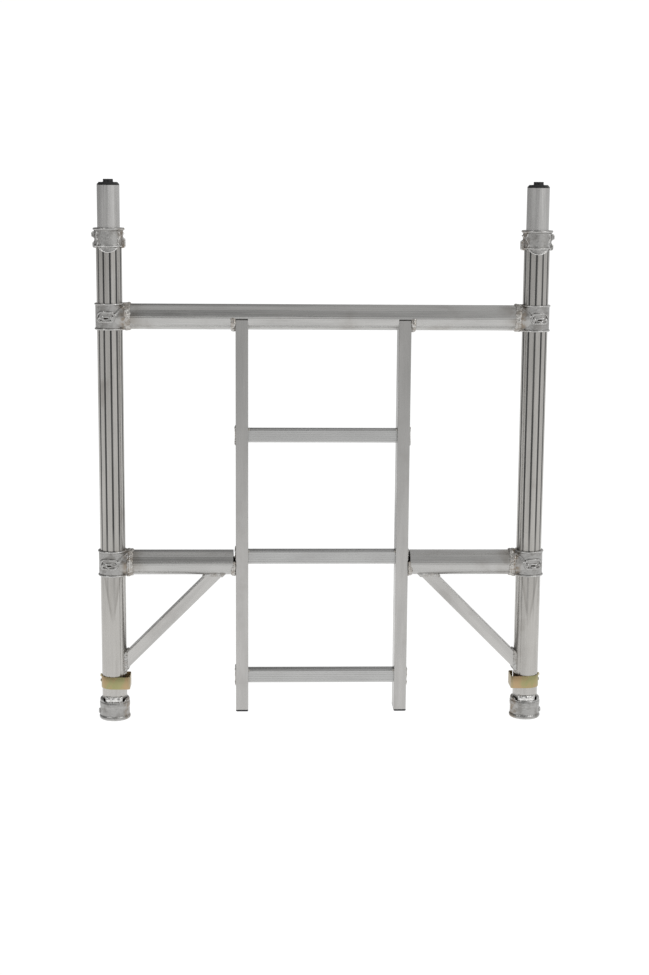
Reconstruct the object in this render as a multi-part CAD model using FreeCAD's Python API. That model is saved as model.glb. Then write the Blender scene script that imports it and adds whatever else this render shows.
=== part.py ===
import FreeCAD, Part
import math
import os

from FreeCAD import Vector

# End frame of an aluminium access tower: two ribbed uprights with spigots, a welded
# three-rung ladder between them, two corner braces and a spring lock clip on each leg.
# Millimetres.  +Z is up, -Y is the front, and the origin is on the
# ground midway between the uprights.  Pieces are drawn for the right-hand side (+X) and
# mirrored for the left.

# ---- overall frame -------------------------------------------------------------------
upright_pitch = 850.0        # between the upright axes
module_height = 1000.0       # foot of the base collars to seat of the top collars
top_ledger_drop = 172.0      # top collar seat down to the top ledger axis
ledger_pitch = 500.0         # top ledger axis to lower ledger axis
stile_pitch = 325.0          # between the stile centre lines
rung_pitch = 250.0           # between standing surfaces
brace_reach = 231.0          # from the upright axis, and from the ledger axis, to the brace ends

# ---- fits ----------------------------------------------------------------------------
seat_gap = 0.1               # between pieces crimped, welded or pressed together
slide_gap = 0.4              # between the lock clip and its leg
spigot_clearance = 0.3       # radial, spigot in the leg above
seat_step = 0.25             # radial, how much wider than the leg's bore its spigot seat and foot lip are
pin_clearance = 0.3          # radial, lock pin in its holes

# ---- round tube ----------------------------------------------------------------------
tube_od = 50.8
tube_wall = 2.85
flute_count = 12
flute_width = 4.6
flute_depth = 0.5
flute_turn = 8.0             # each upright's front flute is turned this far inwards, degrees
rib_count = 36               # fine grip lines on the ledgers
rib_width = 1.8
rib_depth = 0.2

# ---- spigot and plug -----------------------------------------------------------------
spigot_wall = 3.0
spigot_stand = 85.5          # above the top collar seat
spigot_depth = 115.0         # below the top collar seat
plug_cone_height = 5.5
plug_cone_top_r = 18.1
plug_stud_r = 9.9
plug_stud_height = 6.0
plug_skirt_depth = 26.0
plug_skirt_wall = 2.0
plug_skirt_slack = 1.75      # the skirt stands off the spigot's wall past the lock hole
plug_bead_height = 6.0       # snap bead at the skirt's lower end
plug_collar_height = 2.0     # close-fitting stretch under the cone

# ---- castings ------------------------------------------------------------------------
casting_wall = 2.8           # over the tube
bead_rise = 2.0              # end bead over the casting wall
bead_height = 5.0
tee_height = 53.0
branch_stub = 2.7            # past the casting wall, to the face that takes the ledger
branch_rise = 1.0            # branch over the ledger radius
boss_length = 38.5
boss_height = 22.0
boss_offset = 6.3            # outwards from the upright axis
boss_rise = 2.2
boss_rim = 4.0
boss_recess = 1.3
collar_height = 39.0
collar_lip = 10.0            # solid ring over the end of the upright
collar_rim_rise = 3.4
collar_lug_width = 16.0
collar_lugs = (              # side (+1 outwards), low and high below the seat, reach past the casting
    (1, 21.0, 7.0, 5.8),
    (1, 41.5, 26.0, 3.4),
    (-1, 41.5, 19.0, 4.5),
)
tongue_width = 40.0
tongue_drop = 7.0
tongue_wall = 2.0
base_height = 47.5
base_wall = 4.8
base_lip = 6.0               # solid ring under the end of the upright
base_bead_rise = 1.8
base_bead_height = 8.0
base_window_width = 44.0
base_window_depth = 9.0
base_lip_wall = 1.9
base_lip_width = 35.0
base_lip_rise = 2.5
base_nub_width = 12.0
base_nub_low = 5.0
base_nub_high = 19.0
base_nub_reach = 2.6

# ---- ladder --------------------------------------------------------------------------
stile_width = 25.0
stile_depth = 50.0
stile_wall = 2.3
stile_corner_r = 1.5
stile_foot_z = 22.0
cap_thickness = 4.0
cap_skirt = 16.0
cap_skirt_wall = 2.0
rung_size = 27.0
rung_wall = 2.6
rung_corner_r = 3.0
rung_stand_out = 1.4         # past the outer face of each stile
groove_count = 5
groove_pitch = 3.8
groove_width = 1.6
groove_depth = 0.5
ledger_end_gap = 5.0         # lower ledger end to the stile, filled by its weld below

# ---- braces --------------------------------------------------------------------------
brace_size = 25.4
brace_wall = 2.6
brace_corner_r = 2.0

# ---- welds ---------------------------------------------------------------------------
ring_weld_width = 8.6
ring_weld_rise = 1.8
head_weld_leg = 7.0          # along the ledger
head_weld_rise = 5.2
head_weld_sweep = 130.0
end_weld_leg = 3.0
end_weld_rise = 3.9
end_weld_depth = 5.0
end_weld_sweep = 160.0
rung_weld_size = 38.0
rung_weld_rise = 2.2
tack_r = 3.0
brace_weld_leg = 8.0
brace_weld_rise = 3.6

# ---- lock clip -----------------------------------------------------------------------
clip_strip = 1.2
clip_low = 66.5
clip_high = 92.0
clip_travel = 6.0            # outward pull that draws the pin out of the leg
clip_bend_r = 4.0
clip_wrap_end = 60.0         # degrees past straight out, towards the back
clip_lip_y = 19.0
clip_tab_width = 8.0         # pull tab at the strip's top edge, outer side
clip_tab_height = 4.0
clip_tab_rise = 0.5          # above the strip
clip_tab_reach = 2.0
lock_pin_z = 79.5
lock_pin_r = 3.0
lock_pin_tip_chamfer = 0.8
lock_neck_r = 2.0            # through the strip
lock_head_r = 3.2
lock_head_height = 2.0
lock_head_round = 1.2

# ---- worked out from the sizes above -------------------------------------------------
upright_x = upright_pitch / 2
tube_r = tube_od / 2
bore_r = tube_r - tube_wall
spigot_r = bore_r - spigot_clearance
spigot_bore_r = spigot_r - spigot_wall
spigot_seat_r = bore_r + seat_step
mouth_r = bore_r + seat_step
spigot_low = module_height - spigot_depth
spigot_top = module_height + spigot_stand
upright_top = module_height - collar_lip
upright_foot = base_lip + seat_gap
top_ledger_z = module_height - top_ledger_drop
lower_ledger_z = top_ledger_z - ledger_pitch
casting_bore_r = tube_r + seat_gap
casting_r = casting_bore_r + casting_wall
branch_reach = casting_r + branch_stub
branch_r = tube_r + branch_rise
ledger_start = branch_reach + seat_gap
stile_x = stile_pitch / 2
stile_face_x = stile_x + stile_width / 2
first_rung_z = top_ledger_z + tube_r - rung_size / 2 - rung_pitch
clip_r = tube_r + slide_gap + clip_strip / 2
clip_leg_u = tube_r + clip_travel + slide_gap + clip_strip / 2
past = 2 * tube_od           # long enough for any cutting tool to run clear

X_AXIS = Vector(1, 0, 0)
Y_AXIS = Vector(0, 1, 0)
Z_AXIS = Vector(0, 0, 1)
ORIGIN = Vector(0, 0, 0)


# ---- shape helpers -------------------------------------------------------------------
def rod(radius, low, high, x=upright_x, y=0.0):
    """Upright cylinder from z=low to z=high."""
    return Part.makeCylinder(radius, high - low, Vector(x, y, low), Z_AXIS)


def bar(radius, start, end, z, y=0.0):
    """Cylinder along X from x=start to x=end."""
    return Part.makeCylinder(radius, end - start, Vector(start, y, z), X_AXIS)


def block(x0, x1, y0, y1, z0, z1):
    """Box between two corners."""
    return Part.makeBox(x1 - x0, y1 - y0, z1 - z0, Vector(x0, y0, z0))


def ring(outer, inner, low, high, x=upright_x):
    """Upright sleeve."""
    return rod(outer, low, high, x).cut(rod(inner, low - past, high + past, x))


def round_edges(shape, radius, along):
    """Fillet every straight edge that runs parallel to the given axis."""
    edges = []
    for edge in shape.Edges:
        direction = edge.Vertexes[-1].Point.sub(edge.Vertexes[0].Point)
        if abs(direction.normalize().dot(along)) > 0.999:
            edges.append(edge)
    return shape.makeFillet(radius, edges)


def turned(points, x=upright_x):
    """Solid of revolution about the vertical line at x, from (radius, z) points."""
    corners = [Vector(x + r, 0, z) for r, z in points]
    face = Part.Face(Part.makePolygon(corners + corners[:1]))
    return face.revolve(Vector(x, 0, 0), Z_AXIS, 360)


def sleeve_with_beads(bore, outer, bead, low, high, bead_low, bead_high):
    """Casting sleeve with a rolled bead at either end; a bead height of 0 leaves it plain."""
    points = [(bore, low)]
    if bead_low:
        points += [(bead - bead_low / 4, low), (bead, low + bead_low / 4)]
        points += [(bead, low + bead_low / 2), (outer, low + bead_low)]
    else:
        points += [(outer, low)]
    if bead_high:
        points += [(outer, high - bead_high), (bead, high - bead_high / 2)]
        points += [(bead, high - bead_high / 4), (bead - bead_high / 4, high)]
    else:
        points += [(outer, high)]
    return turned(points + [(bore, high)])


def ribbed_disc(radius, count, width, depth, turn):
    """Round section with evenly spaced shallow grooves, in the XY plane about the origin."""
    half = math.asin(width / 2 / radius)
    step = 2 * math.pi / count

    def at(angle, r=radius):
        return Vector(r * math.cos(angle), r * math.sin(angle), 0)

    edges = []
    for index in range(count):
        centre = math.radians(turn - 90) + index * step
        groove = Part.Arc(at(centre - half), at(centre, radius - depth), at(centre + half))
        land = Part.Arc(at(centre + half), at(centre + step / 2), at(centre + step - half))
        edges += [groove.toShape(), land.toShape()]
    return Part.Face(Part.Wire(edges))


def weld_arc(profile, z, sweep):
    """Bead swept round a ledger axis, centred underneath it, from (x, radius) points.

    The third point of the profile is the crown of an arc.
    """
    points = [Vector(x, 0, z - r) for x, r in profile]
    edges = [Part.makeLine(points[0], points[1])]
    edges.append(Part.Arc(points[1], points[2], points[3]).toShape())
    loop = points[3:] + points[:1]
    edges += [Part.makeLine(a, b) for a, b in zip(loop, loop[1:])]
    face = Part.Face(Part.Wire(edges))
    face.rotate(Vector(0, 0, z), X_AXIS, -sweep / 2)
    return face.revolve(Vector(0, 0, z), X_AXIS, sweep)


def square_bar(size, corner, x, z, half_width=None):
    """Rounded square bar along Y used for sections; runs well past the frame both ways."""
    half = size / 2
    return round_edges(block(x - half, x + half, -past, past, z - half, z + half), corner, Y_AXIS)


# ---- uprights and spigots ------------------------------------------------------------
def upright():
    section = ribbed_disc(tube_r, flute_count, flute_width, flute_depth, -flute_turn)
    tube = section.extrude(Vector(0, 0, upright_top - upright_foot))
    tube.translate(Vector(0, 0, upright_foot))
    tube = tube.cut(rod(bore_r, -past, upright_top + past, 0))
    tube = tube.cut(rod(spigot_seat_r, spigot_low - seat_gap, upright_top + past, 0))
    tube = tube.cut(bar(lock_pin_r + pin_clearance, 0, past, lock_pin_z))
    tube.translate(Vector(upright_x, 0, 0))
    return tube


def spigot():
    """Tube with a full-size root held in the leg and a slightly smaller free end."""
    tube = rod(spigot_seat_r - seat_gap, spigot_low, module_height)
    tube = tube.fuse(rod(spigot_r, module_height, spigot_top))
    tube = tube.cut(rod(spigot_bore_r, spigot_low - past, spigot_top + past))
    hole = bar(lock_pin_r + pin_clearance, upright_x, upright_x + past, module_height + lock_pin_z)
    return tube.cut(hole)


def spigot_plug():
    """Plastic end plug: a cone that guides the next leg on, a stud, and a skirt in the bore."""
    snug_r = spigot_bore_r - seat_gap
    skirt_r = spigot_bore_r - plug_skirt_slack
    inner_r = skirt_r - plug_skirt_wall
    cone_low = spigot_top + seat_gap
    cone_high = cone_low + plug_cone_height
    skirt_low = cone_low - plug_skirt_depth
    points = [(0, cone_low), (inner_r, cone_low), (inner_r, skirt_low), (skirt_r, skirt_low)]
    points += [(snug_r, skirt_low + plug_bead_height / 2), (snug_r, skirt_low + plug_bead_height)]
    points += [(skirt_r, skirt_low + plug_bead_height), (skirt_r, cone_low - plug_collar_height)]
    points += [(snug_r, cone_low - plug_collar_height), (snug_r, cone_low)]
    points += [(spigot_r, cone_low), (plug_cone_top_r, cone_high), (plug_stud_r, cone_high)]
    points += [(plug_stud_r, cone_high + plug_stud_height), (0, cone_high + plug_stud_height)]
    return turned(points)


# ---- castings ------------------------------------------------------------------------
def front_and_back(piece):
    """Piece drawn on the front face, joined to its copy on the back face."""
    return piece.fuse(piece.mirror(ORIGIN, Y_AXIS))


def top_collar():
    """Crown casting crimped over the upright's end; its solid ring grips the spigot."""
    low = module_height - collar_height
    rim_r = casting_r + collar_rim_rise
    body = sleeve_with_beads(casting_bore_r, casting_r, rim_r, low, module_height, 0, bead_height)
    lip = ring(casting_r, spigot_seat_r, upright_top + seat_gap, module_height)
    body = body.fuse(lip)
    half = collar_lug_width / 2
    for side, down, up, reach in collar_lugs:
        ends = sorted((upright_x, upright_x + side * (casting_r + reach)))
        lug = block(*ends, -half, half, module_height - down, module_height - up)
        body = body.fuse(round_edges(lug, reach / 2, Y_AXIS))
    tongue = ring(casting_bore_r + tongue_wall, casting_bore_r, low - tongue_drop, low)
    window = block(upright_x - tongue_width / 2, upright_x + tongue_width / 2, -past, 0,
                   low - tongue_drop, low)
    body = body.fuse(front_and_back(tongue.common(window)))
    core = rod(casting_bore_r, low - past, upright_top + seat_gap)
    core = core.fuse(rod(spigot_seat_r, upright_top, module_height + past))
    return body.cut(core).removeSplitter()


def tee(z):
    """Cast tee crimped on an upright, with a branch towards the ladder and a crimp boss."""
    low = z - tee_height / 2
    high = z + tee_height / 2
    bead_r = casting_r + bead_rise
    body = sleeve_with_beads(casting_bore_r, casting_r, bead_r, low, high, bead_height, bead_height)
    body = body.fuse(bar(branch_r, upright_x - branch_reach, upright_x, z))
    centre = upright_x + boss_offset
    boss_r = casting_r + boss_rise
    body = body.fuse(front_and_back(boss_pad(boss_length, boss_height, boss_r, centre, z)))
    inner_length = boss_length - 2 * boss_rim
    inner_height = boss_height - 2 * boss_rim
    pocket = boss_pad(inner_length, inner_height, boss_r + past, centre, z)
    pocket = pocket.cut(rod(boss_r - boss_recess, low, high))
    body = body.cut(front_and_back(pocket))
    return body.cut(rod(casting_bore_r, low - past, high + past)).removeSplitter()


def boss_pad(length, height, radius, x, z):
    """Front part of a disc of the given radius, cut to an oval seen from the front."""
    half = length / 2 - height / 2
    oval = block(x - half, x + half, -past, 0, z - height / 2, z + height / 2)
    for end in (x - half, x + half):
        oval = oval.fuse(Part.makeCylinder(height / 2, past, Vector(end, -past, z), Y_AXIS))
    disc = rod(radius, z - height, z + height)
    return disc.common(oval)


def base_collar():
    """Foot casting: tall side wings, a crimped lip front and back, a bead round the bottom."""
    outer_r = casting_bore_r + base_wall
    bead_r = outer_r + base_bead_rise
    body = sleeve_with_beads(casting_bore_r, outer_r, bead_r, 0, base_height, base_bead_height, 0)
    window_low = base_height - base_window_depth
    half = base_window_width / 2
    window = block(upright_x - half, upright_x + half, -past, past, window_low, base_height + past)
    body = body.cut(window)
    lip_r = casting_bore_r + base_lip_wall
    lip = ring(lip_r, casting_bore_r, window_low - base_window_depth, base_height + base_lip_rise)
    half = base_lip_width / 2
    body = body.fuse(lip.common(block(upright_x - half, upright_x + half, -past, past, 0, past)))
    half = base_nub_width / 2
    nub = block(upright_x, upright_x + outer_r + base_nub_reach, -half, half, base_nub_low, base_nub_high)
    body = body.fuse(round_edges(nub, base_nub_reach, Y_AXIS))
    body = body.cut(rod(casting_bore_r, 0, past))
    return body.fuse(ring(outer_r, mouth_r, 0, base_lip)).removeSplitter()


# ---- ledgers, ladder and braces ------------------------------------------------------
def ledger(start, end, z):
    """Ribbed tube along X."""
    section = ribbed_disc(tube_r, rib_count, rib_width, rib_depth, 0)
    tube = section.extrude(Vector(0, 0, end - start))
    tube = tube.cut(rod(bore_r, -past, end - start + past, 0))
    tube.rotate(ORIGIN, Y_AXIS, 90)
    tube.translate(Vector(start, 0, z))
    return tube


def top_ledger():
    end = upright_x - ledger_start
    return ledger(-end, end, top_ledger_z)


def lower_ledger():
    return ledger(stile_face_x + ledger_end_gap, upright_x - ledger_start, lower_ledger_z)


def rung_heights():
    return [first_rung_z - index * rung_pitch for index in range(3)]


def stile():
    """Rectangular tube, notched round the top ledger and pierced for the rungs."""
    half_width = stile_width / 2
    half_depth = stile_depth / 2
    body = block(stile_x - half_width, stile_x + half_width, -half_depth, half_depth,
                 stile_foot_z, top_ledger_z)
    body = round_edges(body, stile_corner_r, Z_AXIS)
    inner_width = half_width - stile_wall
    inner_depth = half_depth - stile_wall
    body = body.cut(block(stile_x - inner_width, stile_x + inner_width, -inner_depth, inner_depth,
                          stile_foot_z - past, top_ledger_z + past))
    body = body.cut(bar(tube_r + seat_gap, 0, upright_x, top_ledger_z))
    for z in rung_heights():
        body = body.cut(rung_envelope(0, upright_x, z, seat_gap))
    return body


def stile_cap():
    """Plastic cap: a chamfered flange under the stile and a skirt inside it."""
    half_width = stile_width / 2
    half_depth = stile_depth / 2
    top = stile_foot_z - seat_gap
    flange = block(stile_x - half_width, stile_x + half_width, -half_depth, half_depth,
                   top - cap_thickness, top)
    rim = [edge for edge in flange.Edges if edge.BoundBox.ZMax < top - cap_thickness / 2]
    flange = flange.makeChamfer(cap_thickness / 2, rim)
    reach = stile_wall + seat_gap
    inset = reach + cap_skirt_wall
    skirt = block(stile_x - half_width + reach, stile_x + half_width - reach,
                  reach - half_depth, half_depth - reach, top - cap_thickness / 2, top + cap_skirt)
    hollow = block(stile_x - half_width + inset, stile_x + half_width - inset,
                   inset - half_depth, half_depth - inset, top, top + cap_skirt + past)
    return flange.fuse(skirt.cut(hollow)).removeSplitter()


def rung_envelope(start, end, z, grow=0.0):
    """Outer form of a rung between two x positions."""
    half = rung_size / 2 + grow
    return round_edges(block(start, end, -half, half, z - half, z + half), rung_corner_r, X_AXIS)


def rung(z):
    """Square tube with rounded edges and fine grip grooves on its top, front and back."""
    end = stile_face_x + rung_stand_out
    body = rung_envelope(-end, end, z)
    inner = rung_size / 2 - rung_wall
    body = body.cut(block(-end - past, end + past, -inner, inner, z - inner, z + inner))
    half = rung_size / 2
    cutters = []
    for index in range(groove_count):
        offset = (index - (groove_count - 1) / 2) * groove_pitch
        low = z + offset - groove_width / 2
        for face in (-half, half):
            cutters.append(block(-end, end, face - groove_depth, face + groove_depth,
                                 low, low + groove_width))
        cutters.append(block(-end, end, offset - groove_width / 2, offset + groove_width / 2,
                             z + half - groove_depth, z + half + groove_depth))
    return body.cut(cutters)


def brace_bar(grow, wall=None):
    """Square bar from the upright axis up to the ledger axis at 45 degrees."""
    half = brace_size / 2 + grow
    length = brace_reach * math.sqrt(2)
    body = round_edges(block(-half, half, -half, half, 0, length), brace_corner_r, Z_AXIS)
    if wall:
        inner = half - wall
        body = body.cut(block(-inner, inner, -inner, inner, -past, length + past))
    body.rotate(ORIGIN, Y_AXIS, -45)
    body.translate(Vector(upright_x, 0, lower_ledger_z - brace_reach))
    return body


def brace():
    body = brace_bar(0, brace_wall)
    body = body.cut(rod(tube_r + seat_gap, 0, module_height))
    return body.cut(bar(tube_r + seat_gap, 0, upright_x, lower_ledger_z))


# ---- welds ---------------------------------------------------------------------------
def tee_weld(z):
    """Ring bead round the ledger where it meets the tee's branch."""
    start = upright_x - ledger_start
    end = start - ring_weld_width
    base = tube_r + seat_gap
    middle = (start + end) / 2
    crown = base + ring_weld_rise
    points = [Vector(start, 0, z + base), Vector(middle, 0, z + crown), Vector(end, 0, z + base)]
    edges = [Part.Arc(*points).toShape(), Part.makeLine(points[2], points[0])]
    return Part.Face(Part.Wire(edges)).revolve(Vector(0, 0, z), X_AXIS, 360)


def stile_head_weld():
    """Fillet bead between the top ledger and the outer face of the stile."""
    face = stile_face_x + seat_gap
    base = tube_r + seat_gap
    reach = face + head_weld_leg
    crown = (face + head_weld_leg * 0.6, base + head_weld_rise * 0.7)
    profile = [(face, base), (face, base + head_weld_rise), crown, (reach, base)]
    return weld_arc(profile, top_ledger_z, head_weld_sweep)


def ledger_end_weld():
    """Bead that fills the lower half of the gap between a lower ledger and its stile."""
    face = stile_face_x + seat_gap
    end = stile_face_x + ledger_end_gap - seat_gap
    base = tube_r + seat_gap
    reach = end + end_weld_leg
    crown = (end, base + end_weld_rise * 0.8)
    profile = [(face, base - end_weld_depth), (face, base + end_weld_rise), crown,
               (reach, base), (end, base), (end, base - end_weld_depth)]
    return weld_arc(profile, lower_ledger_z, end_weld_sweep)


def rung_welds():
    """Raised bead round each rung on the stile's outer face, and a tack inside."""
    beads = []
    half = rung_weld_size / 2
    face = stile_face_x + seat_gap
    inner_face = stile_x - stile_width / 2 - seat_gap
    for z in rung_heights():
        pad = block(face, face + rung_weld_rise, -half, half, z - half, z + half)
        pad = round_edges(pad, half / 2, X_AXIS)
        outer = [edge for edge in pad.Edges if edge.BoundBox.XMin > face + rung_weld_rise / 2]
        pad = pad.makeChamfer(rung_weld_rise * 0.6, outer)
        beads.append(pad.cut(rung_envelope(0, face + past, z, seat_gap)))
        tack = Part.makeSphere(tack_r, Vector(inner_face, -rung_size / 2, z + rung_size / 2))
        tack = tack.cut(block(inner_face, inner_face + past, -past, past, z - past, z + past))
        beads.append(tack.cut(rung_envelope(0, face, z, seat_gap)))
    return Part.makeCompound(beads)


def brace_weld(joint):
    """Collar of weld round one end of the brace, following the tube it lands on."""
    collar = brace_bar(brace_weld_rise).common(joint(tube_r + brace_weld_leg))
    collar = collar.cut(joint(tube_r + seat_gap))
    return collar.cut(brace_bar(seat_gap))


def brace_foot_weld():
    return brace_weld(lambda radius: rod(radius, 0, lower_ledger_z - tube_od))


def brace_head_weld():
    low = upright_x - brace_reach - tube_od
    return brace_weld(lambda radius: bar(radius, low, low + 2 * tube_od, lower_ledger_z))


# ---- lock clip -----------------------------------------------------------------------
def clip_path():
    """Centre line of the spring strip, in plan about the leg's axis."""
    wrap = math.radians(clip_wrap_end)
    middle = (wrap - math.pi / 2) / 2
    corner = clip_leg_u - clip_bend_r
    slant = clip_bend_r * math.sqrt(0.5)
    strip_inside = clip_lip_y - clip_strip / 2
    tube_edge = math.sqrt(tube_r ** 2 - strip_inside ** 2)
    lip_end = tube_edge + clip_travel + slide_gap

    def on_wrap(angle):
        return Vector(clip_r * math.cos(angle), clip_r * math.sin(angle), 0)

    front = [on_wrap(-math.pi / 2), Vector(-corner, -clip_r, 0)]
    front_bend = Vector(-corner - slant, clip_bend_r - clip_r - slant, 0)
    leg = [Vector(-clip_leg_u, clip_bend_r - clip_r, 0), Vector(-clip_leg_u, clip_lip_y - clip_bend_r, 0)]
    back_bend = Vector(-corner - slant, clip_lip_y - clip_bend_r + slant, 0)
    lip = [Vector(-corner, clip_lip_y, 0), Vector(-lip_end, clip_lip_y, 0)]
    edges = [Part.Arc(on_wrap(wrap), on_wrap(middle), front[0]).toShape()]
    edges.append(Part.makeLine(*front))
    edges.append(Part.Arc(front[1], front_bend, leg[0]).toShape())
    edges.append(Part.makeLine(*leg))
    edges.append(Part.Arc(leg[1], back_bend, lip[0]).toShape())
    edges.append(Part.makeLine(*lip))
    return Part.Wire(edges)


def clip_band():
    """Spring strip round the leg, standing off it on the inner side by its travel."""
    path = clip_path()
    start = path.Vertexes[0].Point
    across = start.normalize() * (clip_strip / 2)
    centre = path.Vertexes[0].Point
    rise = Vector(0, 0, clip_high - clip_low)
    corners = [centre - across, centre + across, centre + across + rise, centre - across + rise]
    profile = Part.makePolygon(corners + corners[:1])
    strip = path.makePipeShell([profile], True, False)
    strip.translate(Vector(upright_x, 0, clip_low))
    face = upright_x + clip_r
    half = clip_tab_width / 2
    tab_top = clip_high + clip_tab_rise
    tab = block(face, face + clip_strip / 2 + clip_tab_reach, -half, half, tab_top - clip_tab_height, tab_top)
    strip = strip.fuse(round_edges(tab, clip_strip / 2, Y_AXIS)).removeSplitter()
    return strip.cut(bar(lock_neck_r + seat_gap, upright_x, upright_x + past, lock_pin_z))


def lock_pin():
    """Pin staked to the strip by its neck; it passes through the leg and the spigot inside it."""
    tip = spigot_bore_r + slide_gap
    shoulder = math.sqrt((clip_r - clip_strip / 2) ** 2 - lock_pin_r ** 2) - seat_gap
    under_head = clip_r + clip_strip / 2 + seat_gap
    shank = bar(lock_pin_r, upright_x + tip, upright_x + shoulder, lock_pin_z)
    point = [edge for edge in shank.Edges if edge.BoundBox.XMax < upright_x + tip + seat_gap]
    shank = shank.makeChamfer(lock_pin_tip_chamfer, point)
    shank = shank.fuse(bar(lock_neck_r, upright_x + shoulder, upright_x + under_head, lock_pin_z))
    head_top = under_head + lock_head_height
    head = bar(lock_head_r, upright_x + under_head, upright_x + head_top, lock_pin_z)
    crown = [edge for edge in head.Edges if edge.BoundBox.XMin > upright_x + head_top - seat_gap]
    head = head.makeFillet(lock_head_round, crown)
    return shank.fuse(head).removeSplitter()


# ---- nodes ---------------------------------------------------------------------------
def one_side_pieces():
    """Pieces drawn on the right and mirrored to the left."""
    return {
        "upright": upright(),
        "spigot": spigot(),
        "spigot_plug": spigot_plug(),
        "top_collar": top_collar(),
        "upper_tee": tee(top_ledger_z),
        "lower_tee": tee(lower_ledger_z),
        "base_collar": base_collar(),
        "lower_ledger": lower_ledger(),
        "stile": stile(),
        "stile_cap": stile_cap(),
        "brace": brace(),
        "upper_tee_weld": tee_weld(top_ledger_z),
        "lower_tee_weld": tee_weld(lower_ledger_z),
        "stile_head_weld": stile_head_weld(),
        "ledger_end_weld": ledger_end_weld(),
        "rung_welds": rung_welds(),
        "brace_foot_weld": brace_foot_weld(),
        "brace_head_weld": brace_head_weld(),
        "clip_band": clip_band(),
        "lock_pin": lock_pin(),
    }


def all_nodes():
    nodes = {"top_ledger": top_ledger()}
    for name, z in zip(("upper", "middle", "lower"), rung_heights()):
        nodes["rung_" + name] = rung(z)
    for name, shape in one_side_pieces().items():
        nodes["right_" + name] = shape
        nodes["left_" + name] = shape.mirror(ORIGIN, X_AXIS)
    return nodes


def main():
    os.makedirs("parts", exist_ok=True)
    for name, shape in all_nodes().items():
        if not shape.isValid():
            raise ValueError(name + " is not a valid solid")
        shape.exportStep("parts/" + name + ".step")
        print(name, len(shape.Solids), round(shape.Volume))


main()
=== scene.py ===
import math
import random

import bmesh
import bpy
from mathutils import Matrix, Vector


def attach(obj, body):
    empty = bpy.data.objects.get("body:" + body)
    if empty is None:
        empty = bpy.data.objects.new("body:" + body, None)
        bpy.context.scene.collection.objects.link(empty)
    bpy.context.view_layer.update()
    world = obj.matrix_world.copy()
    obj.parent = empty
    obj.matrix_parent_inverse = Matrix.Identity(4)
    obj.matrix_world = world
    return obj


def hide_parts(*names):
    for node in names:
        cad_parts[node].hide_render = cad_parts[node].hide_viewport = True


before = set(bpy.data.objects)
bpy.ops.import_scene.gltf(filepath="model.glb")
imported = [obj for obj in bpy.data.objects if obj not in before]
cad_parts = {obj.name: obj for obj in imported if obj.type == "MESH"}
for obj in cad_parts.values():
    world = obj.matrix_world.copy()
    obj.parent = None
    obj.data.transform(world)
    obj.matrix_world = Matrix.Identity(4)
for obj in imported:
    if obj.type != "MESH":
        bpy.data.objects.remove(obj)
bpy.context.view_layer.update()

# Sizes are in millimetres and become metres through MM.  Paired pieces are made for the
# right-hand side and copied across.  "Out" is away from the ladder.
MM = 0.001
UPRIGHT_X = 425.0
TUBE_R = 25.4
BORE_R = 22.55
SPIGOT_R = 22.25
TOP_Z = 1000.0
TOP_LEDGER_Z = 828.0
LOW_LEDGER_Z = 328.0
STILE_FACE_X = 175.0
STILE_INNER_X = 150.0
RUNG_HALF = 13.5
RUNG_Z = (589.9, 339.9, 89.9)
LEDGER_START = 393.9
LEDGER_STOP = 180.0
BRACE_REACH = 231.0
BRACE_HALF = 12.7
CLIP_R = 26.4
CLIP_LEG = 32.4
CLIP_LOW = 66.5
CLIP_HIGH = 92.0
PIN_Z = 79.5
SPIGOT_TOP = 1085.5
STILE_MIDDLE_X = (STILE_INNER_X + STILE_FACE_X) / 2
STILE_HEAD_Z = 823.4
FOOT_LIP_Z = 45.2
BRANCH_END = 36.0

# Castings are modelled solid down to the core, then bored out.
CORE_R = 20.0
LEG_HOLE_R = 25.5
BRANCH_HOLE_R = 25.45
SPIGOT_HOLE_R = 22.8


# ---- bench work ----------------------------------------------------------------------
def put_down():
    """Nothing selected, nothing in edit mode."""
    if bpy.context.object and bpy.context.object.mode != "OBJECT":
        bpy.ops.object.mode_set(mode="OBJECT")
    bpy.ops.object.select_all(action="DESELECT")


def pick_up(piece):
    put_down()
    piece.select_set(True)
    bpy.context.view_layer.objects.active = piece


def just_added(name):
    piece = bpy.context.object
    piece.name = name
    piece.data.name = name
    return piece


def seat(piece):
    """Puts the piece's place and turn into its mesh."""
    pick_up(piece)
    bpy.ops.object.transform_apply(location=True, rotation=True, scale=True)


def open_up(piece):
    pick_up(piece)
    bpy.ops.object.mode_set(mode="EDIT")


def choose(piece, kind, test):
    """In edit mode, selects the vertices, edges or faces that pass the test."""
    bpy.ops.mesh.select_mode(type=kind)
    bpy.ops.mesh.select_all(action="DESELECT")
    mesh = bmesh.from_edit_mesh(piece.data)
    for item in {"VERT": mesh.verts, "EDGE": mesh.edges, "FACE": mesh.faces}[kind]:
        if test(item):
            item.select_set(True)
    mesh.select_flush_mode()
    bmesh.update_edit_mesh(piece.data)


def close_up(piece, angle=30):
    """Welds doubles, turns the faces outwards and shades the piece."""
    open_up(piece)
    bpy.ops.mesh.select_all(action="SELECT")
    bpy.ops.mesh.remove_doubles(threshold=0.01 * MM)
    bpy.ops.mesh.normals_make_consistent(inside=False)
    pick_up(piece)
    bpy.ops.object.shade_smooth_by_angle(angle=math.radians(angle))
    return piece


def work(piece, kind, **settings):
    """Adds a modifier, sets it and applies it."""
    pick_up(piece)
    step = piece.modifiers.new(kind.lower(), kind)
    for key, value in settings.items():
        setattr(step, key, value)
    bpy.ops.object.modifier_apply(modifier=step.name)
    return piece


def cut_with(piece, *tools):
    for tool in tools:
        work(piece, "BOOLEAN", object=tool, operation="DIFFERENCE", solver="EXACT")
        bpy.data.objects.remove(tool)
    return piece


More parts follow.
